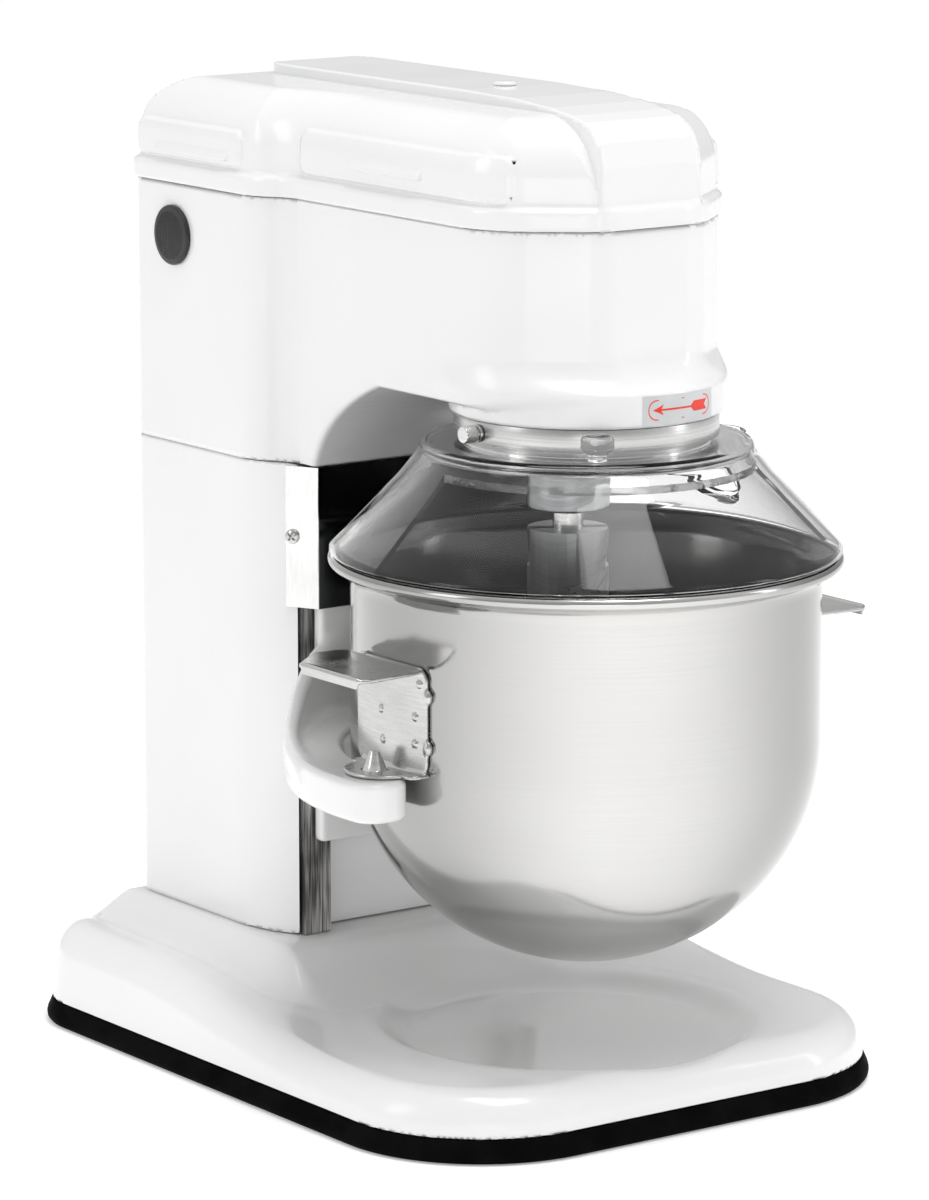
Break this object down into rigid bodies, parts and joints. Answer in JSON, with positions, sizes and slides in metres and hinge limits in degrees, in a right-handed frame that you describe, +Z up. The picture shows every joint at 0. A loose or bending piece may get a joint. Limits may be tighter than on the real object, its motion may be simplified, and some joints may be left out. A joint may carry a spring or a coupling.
{
  "type": "stand mixer",
  "caption": "Bench planetary stand mixer: white cast body, steel bowl on a lifting carriage, clear swinging bowl guard, geared tool drive.",
  "frame": {"origin": "Centre of the footprint, on the surface that the rubber trim stands on.", "axes": "+Z up, -Y to the front where the bowl stands, +X to the side with the controls and lift lever."},
  "size_m": [0.308, 0.417, 0.4932],
  "materials": {
    "white_powder_coat": "glossy white powder coat with a faint orange-peel texture",
    "black_rubber": "matt black rubber",
    "stainless": "brushed and polished stainless sheet",
    "polished_stainless": "polished stainless",
    "machined_steel": "machined steel with fine streaks",
    "steel": "plain turned steel",
    "aluminium": "cast and turned aluminium",
    "copper_winding": "lacquered winding stack",
    "clear_polycarbonate": "clear polycarbonate sheet",
    "black_plastic": "fine-grained black plastic",
    "green_plastic": "gloss green plastic",
    "red_plastic": "gloss red plastic"
  },
  "bodies": {
    "machine": {"base_casting": "white_powder_coat", "base_rubber_trim": "black_rubber", "base_bottom_plate": "steel", "column_casting": "white_powder_coat", "slide_rail_left": "machined_steel", "slide_rail_right": "machined_steel", "rail_cover_plate": "stainless", "rail_cover_screw_left": "steel", "rail_cover_screw_right": "steel", "head_casting": "white_powder_coat", "top_cover": "white_powder_coat", "cover_plug": "black_plastic", "side_blanking_cap": "black_plastic", "control_panel": "black_plastic", "start_button_spring": "steel", "stop_button_spring": "steel", "switch_block": "black_plastic", "cable_gland": "black_plastic", "motor_housing": "aluminium", "motor_stator": "copper_winding", "motor_plate": "steel", "drive_belt": "black_rubber", "bearing_housing": "aluminium", "main_bearing_lower": "steel", "main_bearing_upper": "steel", "drive_skirt": "steel", "ring_gear": "machined_steel", "guard_ring": "stainless", "fixed_guard": "clear_polycarbonate", "interlock_switch": "black_plastic"},
    "motor_spindle": {"motor_rotor": "steel", "motor_pulley": "aluminium"},
    "carrier": {"main_shaft": "steel", "driven_pulley": "aluminium", "planet_carrier": "aluminium", "planet_bearing_upper": "steel", "planet_bearing_lower": "steel", "oil_seal": "black_rubber"},
    "planet": {"planet_pinion": "machined_steel", "tool_shaft": "steel", "bayonet_pin": "steel"},
    "beater": {"flat_beater": "aluminium"},
    "door": {"guard_door": "clear_polycarbonate", "door_knob": "clear_polycarbonate"},
    "carriage": {"bowl_carriage": "white_powder_coat", "lift_rack": "machined_steel", "locating_pin_left": "polished_stainless", "locating_pin_right": "polished_stainless", "bowl": "stainless", "bowl_bracket_left": "stainless", "bowl_bracket_right": "stainless"},
    "lever": {"lever_shaft": "steel", "lift_lever": "polished_stainless", "lever_knob": "black_plastic"},
    "speed_dial": {"speed_knob": "black_plastic"},
    "start": {"start_button": "green_plastic"},
    "stop": {"stop_button": "red_plastic"},
    "clamp_left": {"thumb_screw_left": "polished_stainless"},
    "clamp_right": {"thumb_screw_right": "polished_stainless"}
  },
  "joints": [
    {"name": "carrier_spin", "type": "hinge", "parent": "machine", "child": "carrier", "pos_m": [0, -0.0835, 0.33], "axis": [0, 0, 1], "continuous": true},
    {"name": "motor_spin", "type": "hinge", "parent": "machine", "child": "motor_spindle", "pos_m": [0, 0.1285, 0.3], "axis": [0, 0, 1], "continuous": true},
    {"name": "planet_spin", "type": "hinge", "parent": "carrier", "child": "planet", "pos_m": [-0.02415, -0.1013, 0.32], "axis": [0, 0, 1], "continuous": true},
    {"name": "bayonet_twist", "type": "hinge", "parent": "planet", "child": "beater", "pos_m": [-0.02415, -0.1013, 0.27], "axis": [0, 0, 1], "range_deg": [-25, 0]},
    {"name": "door_swing", "type": "hinge", "parent": "machine", "child": "door", "pos_m": [0, -0.0835, 0.32], "axis": [0, 0, 1], "range_deg": [0, 100]},
    {"name": "bowl_lift", "type": "slide", "parent": "machine", "child": "carriage", "axis": [0, 0, 1], "range_m": [-0.032, 0]},
    {"name": "lever_turn", "type": "hinge", "parent": "machine", "child": "lever", "pos_m": [0, 0.0886, 0.1501], "axis": [1, 0, 0], "range_deg": [0, 91.7]},
    {"name": "speed_turn", "type": "hinge", "parent": "machine", "child": "speed_dial", "pos_m": [0.0855, 0.1315, 0.3953], "axis": [1, 0, 0], "range_deg": [0, 270]},
    {"name": "start_push", "type": "slide", "parent": "machine", "child": "start", "axis": [-1, 0, 0], "range_m": [0, 0.004], "stiffness_N_per_m": 600, "springref_m": -0.002},
    {"name": "stop_push", "type": "slide", "parent": "machine", "child": "stop", "axis": [-1, 0, 0], "range_m": [0, 0.004], "stiffness_N_per_m": 600, "springref_m": -0.002},
    {"name": "clamp_left_turn", "type": "hinge", "parent": "machine", "child": "clamp_left", "pos_m": [-0.0644, -0.0835, 0.3348], "axis": [-1, 0, 0], "range_deg": [0, 360]},
    {"name": "clamp_right_turn", "type": "hinge", "parent": "machine", "child": "clamp_right", "pos_m": [0.0644, -0.0835, 0.3348], "axis": [1, 0, 0], "range_deg": [0, 360]}
  ],
  "couplings": [
    {"joint": "motor_spin", "follows": "carrier_spin", "ratio": 2.7143},
    {"joint": "planet_spin", "follows": "carrier_spin", "ratio": -2.7143},
    {"joint": "lever_turn", "follows": "bowl_lift", "rad_per_m": -50}
  ]
}
